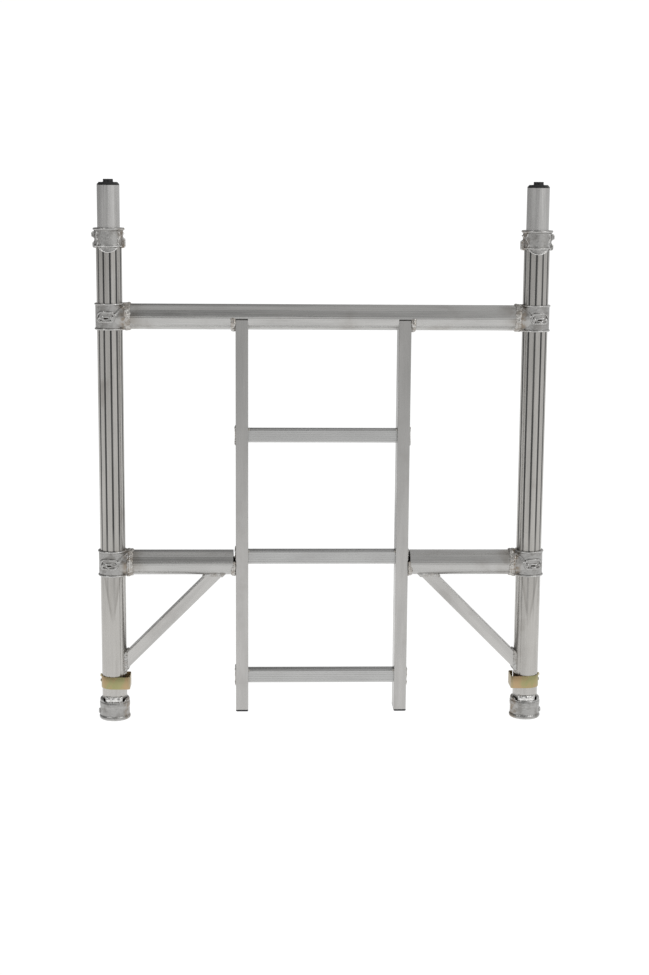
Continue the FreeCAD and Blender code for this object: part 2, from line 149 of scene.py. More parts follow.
def press_flat(piece, height):
    """Presses everything below the height flat onto the ground."""
    open_up(piece)
    choose(piece, "VERT", lambda v: v.co.z < height * MM)
    bpy.ops.transform.resize(value=(1, 1, 0), center_override=(0, 0, 0))
    put_down()
    return piece


def keep_inside(piece, tool):
    work(piece, "BOOLEAN", object=tool, operation="INTERSECT", solver="EXACT")
    bpy.data.objects.remove(tool)
    return piece


def join(name, pieces):
    put_down()
    for piece in pieces:
        piece.select_set(True)
    bpy.context.view_layer.objects.active = pieces[0]
    bpy.ops.object.join()
    return just_added(name)


def block(size, middle):
    put_down()
    bpy.ops.mesh.primitive_cube_add(size=1, location=Vector(middle) * MM,
                                    scale=Vector(size) * MM)
    piece = just_added("block")
    seat(piece)
    return piece


def rod(radius, start, end, steps=96):
    """Cylinder between two points."""
    start, end = Vector(start), Vector(end)
    put_down()
    turn = (end - start).to_track_quat("Z", "Y").to_euler()
    bpy.ops.mesh.primitive_cylinder_add(vertices=steps, radius=radius * MM,
                                        depth=(end - start).length * MM,
                                        location=(start + end) / 2 * MM, rotation=turn)
    piece = just_added("rod")
    seat(piece)
    return piece


def drop(sizes, middle, turn=(0, 0, 0)):
    """One flattened drop of metal."""
    put_down()
    bpy.ops.mesh.primitive_ico_sphere_add(subdivisions=2, radius=1, location=Vector(middle) * MM,
                                          rotation=turn, scale=Vector(sizes) * MM)
    piece = just_added("drop")
    seat(piece)
    return piece


def soften_edges(piece, width, segments, test):
    open_up(piece)
    choose(piece, "EDGE", test)
    bpy.ops.mesh.bevel(offset=width * MM, segments=segments, affect="EDGES")
    put_down()
    return piece


def runs_along(axis):
    """Test for edges parallel to X, Y or Z."""
    def test(edge):
        line = (edge.verts[1].co - edge.verts[0].co).normalized()
        return abs(line["XYZ".index(axis)]) > 0.999
    return test


def start_ring(name, radius, height, steps):
    """A ring of edges, open for editing, round the Z axis."""
    put_down()
    bpy.ops.mesh.primitive_circle_add(vertices=steps, radius=radius * MM,
                                      location=(0, 0, height * MM))
    piece = just_added(name)
    seat(piece)
    open_up(piece)
    bpy.ops.mesh.select_all(action="SELECT")
    return piece


def draw_ring(profile):
    """Draws the selected ring on along a (radius, height) profile."""
    for (radius, height), (next_radius, next_height) in zip(profile, profile[1:]):
        step = {"value": (0, 0, (next_height - height) * MM)}
        bpy.ops.mesh.extrude_edges_move(TRANSFORM_OT_translate=step)
        ratio = next_radius / radius
        bpy.ops.transform.resize(value=(ratio, ratio, 1), center_override=(0, 0, 0))


def turn_piece(name, profile, steps=96):
    """Closed ring-shaped piece round the Z axis from a closed profile."""
    piece = start_ring(name, *profile[0], steps)
    draw_ring(profile + profile[:1])
    put_down()
    return close_up(piece)


def turn_knob(name, profile, steps):
    """Solid round the Z axis, flat at both ends."""
    piece = start_ring(name, *profile[0], steps)
    bpy.ops.mesh.edge_face_add()
    bpy.ops.mesh.select_all(action="SELECT")
    bpy.ops.mesh.select_mode(type="EDGE")
    bpy.ops.mesh.region_to_loop()
    draw_ring(profile)
    bpy.ops.mesh.edge_face_add()
    put_down()
    return close_up(piece)


def move(piece, x=0.0, y=0.0, z=0.0, turn=(0, 0, 0)):
    """Turns a piece about the origin, then moves it into place."""
    piece.rotation_euler = turn
    piece.location = Vector((x, y, z)) * MM
    seat(piece)
    return piece


def roughen(piece, grain, depth):
    """Uneven cast or welded surface."""
    grit = bpy.data.textures.new(piece.name + "_grit", "CLOUDS")
    grit.noise_scale = grain * MM
    grit.noise_depth = 2
    return work(piece, "DISPLACE", texture=grit, strength=depth * MM, mid_level=0.5,
                texture_coords="LOCAL")


def fuse(piece, cell, rounds):
    """Runs joined lumps together into one skin with filleted corners."""
    work(piece, "REMESH", mode="VOXEL", voxel_size=cell * MM, use_smooth_shade=True)
    return work(piece, "SMOOTH", factor=0.5, iterations=rounds)


def copy_across(piece, name):
    """The same piece for the left-hand side, with its own mesh."""
    pick_up(piece)
    bpy.ops.object.duplicate()
    twin = just_added(name)
    twin.scale.x = -1
    seat(twin)
    open_up(twin)
    bpy.ops.mesh.select_all(action="SELECT")
    bpy.ops.mesh.normals_make_consistent(inside=False)
    put_down()
    return twin


# ---- finishes ------------------------------------------------------------------------
class Finish:
    """A material under construction."""

    def __init__(self, name, **constants):
        self.material = bpy.data.materials.new(name)
        self.material.use_nodes = True
        tree = self.material.node_tree
        self.nodes, self.links = tree.nodes, tree.links
        self.shader = self.nodes["Principled BSDF"]
        for socket, value in constants.items():
            self.shader.inputs[socket.replace("_", " ")].default_value = value
        self.place = self.nodes.new("ShaderNodeTexCoord").outputs["Object"]

    def plug(self, node, socket, value):
        target = node.inputs[socket]
        if isinstance(value, bpy.types.NodeSocket):
            self.links.new(value, target)
        else:
            target.default_value = value

    def sum(self, how, a, b=0.0):
        node = self.nodes.new("ShaderNodeMath")
        node.operation = how
        self.plug(node, 0, a)
        self.plug(node, 1, b)
        return node.outputs[0]

    def plus(self, a, b):
        return self.sum("ADD", a, b)

    def times(self, a, b):
        return self.sum("MULTIPLY", a, b)

    def gap(self, value, mark=None):
        """How far a value is from a mark, or from zero, either way."""
        if mark is not None:
            value = self.sum("SUBTRACT", value, mark)
        return self.sum("ABSOLUTE", value)

    def grid(self, scale=(1, 1, 1), turn=(0, 0, 0)):
        """Object coordinates, stretched and turned."""
        node = self.nodes.new("ShaderNodeMapping")
        node.vector_type = "TEXTURE"
        self.plug(node, "Vector", self.place)
        node.inputs["Rotation"].default_value = turn
        node.inputs["Scale"].default_value = [1 / share for share in scale]
        return node.outputs[0]

    def noise(self, scale, detail=2.0, rough=0.5, grid=None):
        node = self.nodes.new("ShaderNodeTexNoise")
        self.plug(node, "Vector", grid or self.place)
        node.inputs["Scale"].default_value = scale
        node.inputs["Detail"].default_value = detail
        node.inputs["Roughness"].default_value = rough
        return node.outputs["Fac"]

    def spread(self, value, low, high, to_low=0.0, to_high=1.0):
        node = self.nodes.new("ShaderNodeMapRange")
        node.interpolation_type = "SMOOTHSTEP"
        self.plug(node, "Value", value)
        node.inputs["From Min"].default_value = low
        node.inputs["From Max"].default_value = high
        node.inputs["To Min"].default_value = to_low
        node.inputs["To Max"].default_value = to_high
        return node.outputs[0]

    def mix(self, share, a, b):
        node = self.nodes.new("ShaderNodeMix")
        node.data_type = "RGBA"
        self.plug(node, "Factor", share)
        for socket, value in ((6, a), (7, b)):
            value = value if isinstance(value, bpy.types.NodeSocket) else (*value, 1)
            self.plug(node, socket, value)
        return node.outputs[2]

    def axis(self, letter):
        node = self.nodes.new("ShaderNodeSeparateXYZ")
        self.plug(node, 0, self.place)
        return node.outputs["XYZ".index(letter)]

    def edges(self, low, high):
        """How much a place stands proud of what is round it."""
        node = self.nodes.new("ShaderNodeNewGeometry")
        return self.spread(node.outputs["Pointiness"], low, high)

    def done(self, colour, roughness, height=None, depth=0.1):
        """Plugs everything in; the bump's depth is in millimetres."""
        self.plug(self.shader, "Base Color", colour)
        self.plug(self.shader, "Roughness", roughness)
        if height is not None:
            node = self.nodes.new("ShaderNodeBump")
            node.inputs["Strength"].default_value = 1.0
            node.inputs["Distance"].default_value = depth * MM
            self.plug(node, "Height", height)
            self.links.new(node.outputs[0], self.shader.inputs["Normal"])
        return self.material


DIE_LINE_DEPTH = 0.012

# Colours of stains and wear, and of painted shade, shadow and highlights, laid over each metal's
# own.
OXIDE = (0.30, 0.275, 0.25)
SCRATCH = (0.82, 0.82, 0.81)
FLUTE_DARK = (0.040, 0.041, 0.042)
WEDGE_SHADE = (0.22, 0.205, 0.185)
NOTCH_SHADE = (0.06, 0.055, 0.05)
HEAT_STAIN = (0.22, 0.19, 0.155)
GAP_SHADOW = (0.015, 0.013, 0.012)
GREY_OXIDE = (0.27, 0.27, 0.262)
EDGE_HIGHLIGHT = (0.75, 0.75, 0.74)
CAST_STAIN = (0.25, 0.24, 0.225)
CAST_SCORCH = (0.26, 0.205, 0.15)
CREVICE_SHADE = (0.055, 0.048, 0.042)
LIP_HIGHLIGHT = (0.84, 0.83, 0.81)
RIDGE_HIGHLIGHT = (0.90, 0.895, 0.88)
SMUT = (0.25, 0.20, 0.15)
DIP_SHADE = (0.10, 0.08, 0.06)
ZINC_PINK = (0.47, 0.255, 0.14)
ZINC_GREEN = (0.26, 0.31, 0.12)
ZINC_SHADE = (0.20, 0.12, 0.05)
ZINC_HIGHLIGHT = (0.72, 0.64, 0.42)


# In the finishes, places and distances are in metres, like the coordinates they are read from.
def drawn_tube(name, along, light, dark, turn=(0, 0, 0), stain=0.5, gloss=(0.2, 0.34), streak=0.5):
    """Extruded aluminium: die lines along the tube, cloudy oxide, scuffs and a few stains."""
    metal = Finish(name, Metallic=1.0)
    stretch = [1.0, 1.0, 1.0]
    stretch["XYZ".index(along)] = 0.012
    lines = metal.noise(520, 4, 0.65, metal.grid(stretch, turn))
    stretch["XYZ".index(along)] = 0.1
    bands = metal.noise(60, 3, 0.6, metal.grid(stretch, turn))
    clouds = metal.noise(11, 4, 0.6)
    scuffs = metal.noise(260, 5, 0.75)
    drawn = metal.spread(lines, 0.35, 0.65, 0.5 - streak / 2, 0.5 + streak / 2)
    colour = metal.mix(drawn, dark, light)
    darker = [c * 0.78 for c in dark]
    colour = metal.mix(metal.spread(bands, 0.42, 0.7, 0.0, 0.35), colour, darker)
    colour = metal.mix(metal.spread(clouds, 0.52, 0.78, 0.0, stain), colour, OXIDE)
    colour = metal.mix(metal.spread(scuffs, 0.64, 0.74, 0.0, 0.3), colour, SCRATCH)
    mixed = metal.plus(metal.times(lines, 0.6), metal.times(clouds, 0.4))
    rough = metal.spread(mixed, 0.35, 0.65, *gloss)
    height = metal.plus(lines, metal.times(scuffs, 0.3))
    return metal, colour, rough, height


def upright_finish():
    """Ribbed leg: darker flutes that fade towards the foot; painted shade on the front and at the
    foot.
    """
    metal, colour, rough, height = drawn_tube("upright_aluminium", "Z",
                                              (0.60, 0.585, 0.56), (0.47, 0.455, 0.43))
    across = metal.sum("SUBTRACT", metal.gap(metal.axis("X")), UPRIGHT_X * MM)
    deep = metal.axis("Y")
    reach = metal.sum("SQRT", metal.plus(metal.times(across, across), metal.times(deep, deep)))
    groove = metal.spread(reach, (TUBE_R - 0.42) * MM, (TUBE_R + 0.02) * MM, 1.0, 0.0)
    # How high the flute colour reaches: it fades out towards the foot.
    wavy = metal.plus(metal.axis("Z"), metal.times(metal.noise(14, 3), 0.2))
    mark_mask = metal.spread(wavy, 0.30, 0.56)

    # A wedge of painted shade on the front, widening as it rises above the brace.
    half = metal.times(metal.sum("SUBTRACT", metal.axis("Z"), 0.205), 0.155)
    shore = metal.sum("SUBTRACT", metal.gap(across), half)
    wedge = metal.times(metal.spread(shore, -0.004, 0.0008, 0.35, 1.0),
                        metal.spread(shore, 0.0012, 0.0035, 1.0, 0.0))
    fade = metal.times(metal.spread(metal.axis("Z"), 0.198, 0.24),
                       metal.spread(metal.axis("Z"), 0.30, 0.40, 1.0, 0.0))
    front = metal.spread(deep, -0.004, -0.012, 0.0, 0.42)
    colour = metal.mix(metal.times(metal.times(wedge, fade), front), colour, WEDGE_SHADE)

    # Painted shade on the tube low down, where it shows through the foot's notches.
    patchy = metal.spread(metal.noise(60), 0.3, 0.6, 0.6, 0.9)
    notch_shade = metal.times(metal.spread(metal.axis("Z"), 0.052, 0.046), patchy)
    colour = metal.mix(notch_shade, colour, NOTCH_SHADE)
    # The flutes are darker in colour, patchy along their length.
    flute_patches = metal.spread(metal.noise(150, 4, 0.7, metal.grid((1, 1, 0.02))), 0.3, 0.7, 0.8, 0.98)
    flute_dark = metal.times(groove, metal.times(mark_mask, flute_patches))
    colour = metal.mix(flute_dark, colour, FLUTE_DARK)
    rough = metal.plus(rough, metal.times(flute_dark, 0.2))
    return metal.done(colour, rough, height, DIE_LINE_DEPTH)


def ledger_finish():
    """Crosswise tube, heat-stained at its ends, dark in the gap over each stile's head."""
    metal, colour, rough, height = drawn_tube("ledger_aluminium", "X",
                                              (0.57, 0.565, 0.55), (0.47, 0.465, 0.455))
    heat = metal.spread(metal.gap(metal.axis("X")), 0.345, 0.392)
    stained = metal.times(heat, metal.spread(metal.noise(38, 3), 0.38, 0.6, 0.1, 0.55))
    colour = metal.mix(stained, colour, HEAT_STAIN)
    aside = metal.gap(metal.gap(metal.axis("X")), STILE_MIDDLE_X * MM)
    rise = metal.gap(metal.axis("Z"), STILE_HEAD_Z * MM)
    gap = metal.times(metal.spread(aside, 0.0119, 0.0127, 1.0, 0.0),
                      metal.spread(rise, 0.0018, 0.0026, 1.0, 0.0))
    gap = metal.times(gap, metal.spread(metal.noise(90), 0.2, 0.5, 0.8, 0.97))
    colour = metal.mix(gap, colour, GAP_SHADOW)
    return metal.done(colour, rough, height, DIE_LINE_DEPTH)


def spigot_finish():
    metal, colour, rough, height = drawn_tube("spigot_aluminium", "Z", (0.66, 0.652, 0.64),
                                              (0.57, 0.562, 0.55), stain=0.2, streak=0.3)
    return metal.done(colour, rough, height, DIE_LINE_DEPTH)


def stile_finish():
    """Mill-finish stile, duller with oxide towards its head."""
    metal, colour, rough, height = drawn_tube("stile_aluminium", "Z", (0.60, 0.59, 0.575),
                                              (0.52, 0.51, 0.495), stain=0.3, gloss=(0.24, 0.36))
    oxide = metal.times(metal.spread(metal.axis("Z"), 0.15, 0.72),
                        metal.spread(metal.noise(16, 3), 0.2, 0.5, 0.3, 0.42))
    colour = metal.mix(oxide, colour, GREY_OXIDE)
    return metal.done(colour, rough, height, DIE_LINE_DEPTH)


def rung_finish():
    """Dull rung with painted highlights along its edges."""
    metal, colour, rough, height = drawn_tube("rung_aluminium", "X", (0.47, 0.47, 0.465),
                                              (0.38, 0.38, 0.375), stain=0.35)
    edge = metal.edges(0.5, 0.56)
    # Painted highlights along the edges.
    colour = metal.mix(metal.times(edge, 0.35), colour, EDGE_HIGHLIGHT)
    return metal.done(colour, rough, height, 0.05)


def brace_finish(name, lean):
    """Square brace tube; its die lines lean with it."""
    turn = (0, math.radians(lean), 0)
    metal, colour, rough, height = drawn_tube(name, "Z", (0.63, 0.62, 0.60),
                                              (0.53, 0.52, 0.505), turn, stain=0.3)
    return metal.done(colour, rough, height, DIE_LINE_DEPTH)


def cast_finish():
    """Cast aluminium: satin lumpy skin, painted shade in its hollows, painted highlights on its
    ridges and the foot's lip.
    """
    metal = Finish("cast_aluminium", Metallic=1.0)
    grain = metal.noise(900, 4, 0.7)
    lumps = metal.noise(230, 3, 0.55)
    clouds = metal.noise(60, 4, 0.6)
    crevice_shade = metal.edges(0.495, 0.455)
    ridge_highlight = metal.edges(0.508, 0.548)
    colour = metal.mix(metal.spread(grain, 0.3, 0.7), (0.385, 0.38, 0.37), (0.50, 0.495, 0.482))
    colour = metal.mix(metal.spread(clouds, 0.46, 0.66, 0.0, 0.6), colour, CAST_STAIN)
    away = metal.gap(metal.axis("X"))
    scorch = metal.times(metal.spread(away, 0.409, 0.397),
                         metal.spread(metal.noise(120, 3), 0.4, 0.6, 0.15, 0.75))
    colour = metal.mix(scorch, colour, CAST_SCORCH)
    # A painted highlight on the foot's lip.
    above = metal.gap(metal.axis("Z"), FOOT_LIP_Z * MM)
    aside = metal.gap(away, UPRIGHT_X * MM)
    lip_highlight = metal.times(metal.spread(above, 0.0035, 0.0065, 1.0, 0.0),
                         metal.spread(aside, 0.0145, 0.0185, 1.0, 0.0))
    lip_highlight = metal.times(lip_highlight, metal.spread(metal.noise(110, 2), 0.3, 0.6, 0.35, 0.95))
    colour = metal.mix(lip_highlight, colour, LIP_HIGHLIGHT)
    # Painted shade in the crevices.
    colour = metal.mix(crevice_shade, colour, CREVICE_SHADE)
    # Painted highlights on the ridges.
    colour = metal.mix(ridge_highlight, colour, RIDGE_HIGHLIGHT)
    # Where the painted highlights lie, the skin is also smoother.
    mark_mask = metal.sum("MAXIMUM", ridge_highlight, lip_highlight)
    dull = metal.sum("SUBTRACT", metal.plus(grain, clouds), mark_mask)
    rough = metal.spread(dull, 0.2, 1.3, 0.20, 0.42)
    height = metal.plus(lumps, metal.times(grain, 0.12))
    return metal.done(colour, rough, height, 0.4)


def weld_finish(name, low, high, smut, gloss):
    """Weld bead: rippled crown, brown smut in patches, painted shade in the dips, painted
    highlights on the crests.
    """
    metal = Finish(name, Metallic=1.0)
    ripple = metal.noise(420, 3, 0.6)
    clouds = metal.noise(90, 3, 0.6)
    colour = metal.mix(metal.spread(ripple, 0.35, 0.65), low, high)
    colour = metal.mix(metal.spread(clouds, 0.42, 0.62, 0.0, smut), colour, SMUT)
    # Painted shade in the dips.
    colour = metal.mix(metal.edges(0.495, 0.44), colour, DIP_SHADE)
    # Painted highlights on the crests: a lighter copy of the bead's colour.
    colour = metal.mix(metal.edges(0.53, 0.60), colour, [min(1.0, c * 1.5) for c in high])
    rough = metal.spread(metal.plus(ripple, clouds), 0.7, 1.3, *gloss)
    return metal.done(colour, rough, ripple, 0.1)


def clip_finish():
    """Yellow passivated zinc, with its faint pink and green play of colour."""
    metal = Finish("yellow_zinc", Metallic=1.0)
    slow = metal.noise(34, 2, 0.5, metal.grid((1.6, 1.6, 0.35)))
    other = metal.noise(46, 2, 0.5, metal.grid((1.3, 1.3, 0.5), (0.4, 0.2, 0.9)))
    fine = metal.noise(600, 3, 0.7)
    colour = metal.mix(metal.spread(fine, 0.3, 0.7), (0.325, 0.255, 0.115), (0.41, 0.325, 0.15))
    colour = metal.mix(metal.spread(slow, 0.46, 0.60, 0.0, 0.6), colour, ZINC_PINK)
    colour = metal.mix(metal.spread(other, 0.48, 0.62, 0.0, 0.6), colour, ZINC_GREEN)
    inner = metal.spread(metal.gap(metal.axis("X")), 0.3975, 0.3945, 0.0, 0.75)
    colour = metal.mix(inner, colour, ZINC_SHADE)
    # Painted highlights along the strip's edges and bends.
    colour = metal.mix(metal.edges(0.52, 0.6), colour, ZINC_HIGHLIGHT)
    rough = metal.spread(fine, 0.3, 0.7, 0.3, 0.42)
    return metal.done(colour, rough, fine, 0.05)


def pin_finish():
    """Bare zinc-plated steel."""
    metal = Finish("zinc_pin", Metallic=1.0)
    fine = metal.noise(900, 3, 0.6)
    rings = metal.noise(160, 3, 0.6)
    colour = metal.mix(metal.spread(rings, 0.35, 0.65), (0.40, 0.37, 0.31), (0.62, 0.60, 0.54))
    return metal.done(colour, metal.spread(fine, 0.3, 0.7, 0.24, 0.4), fine, 0.05)


def plastic_finish():
    """Moulded black plastic with a fine spark-eroded grain and dusty scuffs."""
    skin = Finish("black_plastic", Metallic=0.0)
    grain = skin.noise(1500, 3, 0.6)
    dust = skin.spread(skin.noise(90, 4, 0.7), 0.5, 0.75, 0.0, 0.6)
    colour = skin.mix(dust, (0.006, 0.006, 0.006), (0.024, 0.023, 0.021))
    return skin.done(colour, skin.spread(grain, 0.3, 0.7, 0.38, 0.55), grain, 0.05)


# ---- tubes ---------------------------------------------------------------------------
def ribbed_tube(name, count, per_rib, width, depth, turn, start, end):
    """Tube along Z whose skin has shallow rounded flutes, open at both ends."""
    rim = 0.4
    piece = start_ring(name, TUBE_R - rim, start, count * per_rib)
    pitch = math.tau / count
    groove_r = (width ** 2 / 4 + depth ** 2) / (2 * depth)

    def off_flute(vertex):
        angle = math.atan2(vertex.co.y, vertex.co.x) - math.radians(turn)
        return abs((angle + pitch / 2) % pitch - pitch / 2)

    levels = sorted({round(off_flute(v), 4) for v in bmesh.from_edit_mesh(piece.data).verts})
    for level in levels:
        aside = level * TUBE_R
        if aside < width / 2:
            dip = depth - groove_r + math.sqrt(groove_r ** 2 - aside ** 2)
            choose(piece, "VERT", lambda v: abs(off_flute(v) - level) < 2e-4)
            ratio = 1 - dip / TUBE_R
            bpy.ops.transform.resize(value=(ratio, ratio, 1), center_override=(0, 0, 0))
    bpy.ops.mesh.select_mode(type="EDGE")
    bpy.ops.mesh.select_all(action="SELECT")
    draw_ring([(TUBE_R - rim, start), (TUBE_R, start + rim), (TUBE_R, end - rim),
               (TUBE_R - rim, end), (BORE_R, end)])
    bpy.ops.transform.tosphere(value=1)
    bpy.ops.mesh.extrude_edges_move(TRANSFORM_OT_translate={"value": (0, 0, (start - end) * MM)})
    open_up(piece)
    choose(piece, "EDGE", lambda e: len(e.link_faces) == 1)
    bpy.ops.mesh.bridge_edge_loops()
    put_down()
    return close_up(piece, 14)


def make_upright():
    """Leg with twelve flutes.  It has no lock hole, so at rest the pin runs into its wall."""
    tube = ribbed_tube("leg_tube", 12, 20, 4.8, 0.55, -98, 6.1, 990)
    return move(tube, UPRIGHT_X)


def make_ledger(name, start, end):
    """Ledger with thirty-six fine flutes, lying along X."""
    tube = ribbed_tube(name, 36, 8, 1.9, 0.15, 0, start, end)
    return move(tube, turn=(0, math.pi / 2, 0))


# ---- castings ------------------------------------------------------------------------
def ring_lump(outer, inner, low, high, round_by):
    """Sleeve with rounded outer corners, round the Z axis."""
    nip = round_by * 0.3
    profile = [(inner, low), (outer - round_by, low), (outer - nip, low + nip),
               (outer, low + round_by), (outer, high - round_by), (outer - nip, high - nip),
               (outer - round_by, high), (inner, high)]
    return turn_piece("ring_lump", profile)


def oval_bar(length, height, front, back, x, z):
    """Round-ended bar along Y."""
    bar = block((length, back - front, height), (x, (front + back) / 2, z))
    return soften_edges(bar, height / 2 - 0.01, 14, runs_along("Y"))


def curved_pad(length, height, radius, x):
    """Round-ended pad that follows a tube of the given radius, front only."""
    pad = oval_bar(length, height, -radius - 5, 0, x, 0)
    return keep_inside(pad, rod(radius, (0, 0, -height), (0, 0, height)))


def through_leg(radius, low, high):
    """Rod up the leg's middle line."""
    return rod(radius, (0, 0, low), (0, 0, high))


def make_tee(name, hood):
    """Cast tee round the leg: beaded sleeve, branch, crimp boss with its two nubs, corner ribs."""
    half, sleeve_r, bead_r = 26.5, 28.3, 30.2
    lumps = [ring_lump(sleeve_r, CORE_R, -half, half, 1.0)]
    lumps.append(ring_lump(bead_r, CORE_R, -half, -22.6, 1.6))
    lumps.append(ring_lump(bead_r, CORE_R, 22.6, half, 1.6))
    lumps.append(rod(27.4, (-33.5, 0, 0), (-8, 0, 0)))
    for face in (-1, 1):
        lumps.append(rod(2.6, (-12.0, face * 26.8, 4), (-29.5, face * 17.6, 20.6), 24))
    boss_x = 6.3
    for face in (-1, 1):
        pad = curved_pad(38.5, 22, 30.9, boss_x)
        dish = curved_pad(31.5, 15.0, 40, boss_x)
        cut_with(dish, through_leg(28.8, -30, 30))
        cut_with(pad, dish)
        if face > 0:
            move(pad, turn=(0, 0, math.pi))
            move(pad, 2 * boss_x)
        lumps.append(pad)
    for x, size in ((-5.6, 4.2), (17.4, 3.9)):
        deep = -math.sqrt(28.6 ** 2 - x ** 2)
        lumps.append(drop((size, 2.7, size), (x, deep, -2.0)))
    lumps.append(drop((8.5, 1.6, 1.3), (5.8, -28.3, 0.6)))
    lumps.append(drop((7.0, 1.5, 1.2), (5.8, -28.3, -5.4)))
    if hood:
        lumps.append(rod(28.6, (-35.5, 0, 0), (-30, 0, 0)))
    tee = join(name, lumps)
    fuse(tee, 0.6, 2)
    cut_with(tee, oval_bar(9.5, 2.8, -34, -26.6, 5.4, -2.6))
    roughen(tee, 2.6, 0.3)
    cut_with(tee, through_leg(LEG_HOLE_R, -40, 40), rod(BRANCH_HOLE_R, (-60, 0, 0), (-31, 0, 0)))
    return close_up(tee, 50)


def make_crown():
    """Crown casting over the leg's end: flared rim, hooked lugs at both sides, tongues below."""
    low, high = 964.6, 1002.2
    lumps = [ring_lump(28.4, CORE_R, low, high, 1.0)]
    lumps.append(ring_lump(31.4, CORE_R, 997.4, high, 1.6))
    lumps.append(ring_lump(30.2, CORE_R, low, 968.8, 1.8))
    lugs = ((1, 981.5, 995.0, 33.6), (1, 962.5, 976.0, 31.6),
            (-1, 962.5, 982.5, 32.4), (-1, 988.5, 993.0, 30.4))
    root = 18
    for side, bottom, top, reach in lugs:
        lug = block((reach - root, 17, top - bottom),
                    (side * (reach + root) / 2, 0, (top + bottom) / 2))
        lumps.append(soften_edges(lug, 3.2, 3, runs_along("Y")))

    def across(radius, face, near, far):
        """Rod from front to back that gives a tongue its round end."""
        return rod(radius, (0, face * near, 979.6), (0, face * far, 979.6))

    tongue_low, tongue_r, column = 948, 25.6, 21.4
    for face in (-1, 1):
        tongue = through_leg(27.7, tongue_low, low + 4)
        lumps.append(keep_inside(tongue, across(tongue_r, face, 5, 40)))
        rim = through_leg(28.6, tongue_low, low + 4)
        keep_inside(rim, across(tongue_r, face, 5, 40))
        lumps.append(cut_with(rim, across(23.4, face, 4, 41)))
        for step in range(17):
            x = column + 1.9 * math.sin(step / 16 * math.tau)
            z = 994 - 1.6 * step
            for side in (-1, 1):
                deep = face * math.sqrt(28.2 ** 2 - x ** 2)
                lumps.append(drop((1.9, 2.3, 1.9), (side * x, deep, z)))
    crown = join("crown", lumps)
    fuse(crown, 0.62, 2)
    notch = [rod(2.6, (side * column, -40, 963.8), (side * column, 40, 963.8), 24)
             for side in (-1, 1)]
    cut_with(crown, *notch)
    slots = [rod(5.4, (side * 33.5, -16, z), (side * 33.5, 16, z), 32)
             for side, z in ((1, 978.8), (-1, 985.9))]
    cut_with(crown, *slots)
    fuse(crown, 0.62, 1)
    roughen(crown, 2.6, 0.35)
    cut_with(crown, through_leg(LEG_HOLE_R, 940, 990.1), through_leg(SPIGOT_HOLE_R, 980, 1010))
    return close_up(crown, 50)


def make_foot():
    """Foot casting: side wings, crimped lip between dark notches, rolled rim at the bottom."""
    lumps = [ring_lump(30.1, CORE_R, 0, 43.8, 2.6)]
    lumps.append(ring_lump(31.9, CORE_R, 0.0, 8.6, 3.2))
    lumps.append(ring_lump(30.9, CORE_R, 24.5, 38.0, 3.0))
    nub = block((14, 13, 9.5), (26.4, 0, 14.5))
    lumps.append(soften_edges(nub, 3.0, 3, runs_along("Y")))
    foot = join("foot", lumps)
    fuse(foot, 0.66, 2)
    window = block((45, 120, 20), (0, 0, 48.6))
    soften_edges(window, 4.0, 4, runs_along("Y"))
    cut_with(foot, window, rod(3.2, (-32.6, -25, 22.4), (-32.6, 25, 22.4), 32))
    lip = ring_lump(28.2, CORE_R, 30, 50.2, 1.6)
    keep_inside(lip, block((35, 120, 40), (0, 0, 40)))
    lumps = [foot, lip]
    for x, size in ((-9.8, 6.6), (0.6, 3.6), (10.2, 6.2)):
        for face in (-1, 1):
            deep = face * math.sqrt(27.6 ** 2 - x ** 2)
            lumps.append(drop((size, 2.1, 5.2), (x, deep, 44.0)))
    foot = join("foot", lumps)
    fuse(foot, 0.66, 2)
    roughen(foot, 2.6, 0.38)
    cut_with(foot, through_leg(LEG_HOLE_R, 6, 70), through_leg(SPIGOT_HOLE_R, -5, 20))
    return close_up(press_flat(foot, 0.3), 50)


# ---- welds ---------------------------------------------------------------------------
def weld_run(name, spots, seed, cell=0.6, rounds=4, wave=2.4, swing=0.4, loose=0.6):
    """Weld bead laid drop by drop; each spot is (middle, half sizes, turn)."""
    shake = random.Random(seed)
    drops = []
    for middle, sizes, turn in spots:
        swell = 1 + shake.uniform(-0.16, 0.16)
        drift = Vector([shake.uniform(-loose, loose) for _ in range(3)])
        drops.append(drop([size * swell for size in sizes], Vector(middle) + drift, turn))
    bead = join(name, drops)
    fuse(bead, cell, rounds)
    roughen(bead, wave, swing)
    return close_up(bead, 60)


def round_ledger(x, radius, z, sizes, start, end, count):
    """Spots round a ledger's axis; angles in degrees from straight down."""
    spots = []
    for index in range(count):
        angle = math.radians(start + (end - start) * index / (count - 1))
        middle = (x, math.sin(angle) * radius, z - math.cos(angle) * radius)
        spots.append((middle, sizes, (angle, 0, 0)))
    return spots


def square_path(half, count):
    """Points round a square, in order."""
    side = [-half + 2 * half * index / count for index in range(count)]
    path = [(-half, t) for t in side] + [(t, half) for t in side]
    return path + [(half, -t) for t in side] + [(-t, -half) for t in side]


def make_rung_welds():
    """A bead round each rung outside the stile and a tack at its inner corner."""
    beads = []
    for place, z in enumerate(RUNG_Z):
        ring = [((STILE_FACE_X + 0.5, a, z + b), (1.75, 3.4, 3.4), (0, 0, 0))
                for a, b in square_path(RUNG_HALF + 1.8, 8)]
        bead = weld_run("bead", ring, 40 + place, 0.5)
        hole = 2 * RUNG_HALF + 0.1
        cut_with(bead, block((20, 60, 60), (STILE_FACE_X - 9.95, 0, z)),
                 block((20, hole, hole), (STILE_FACE_X, 0, z)))
        beads.append(bead)
        tack = [((STILE_INNER_X - 1.0, -RUNG_HALF - 0.4, z + RUNG_HALF - 1.5 + 1.6 * k),
                 (2.2, 1.9, 2.0), (0, 0, 0)) for k in range(2)]
        beads.append(weld_run("tack", tack, 60 + place, 0.4))
    return join("rung_end_welds", beads)


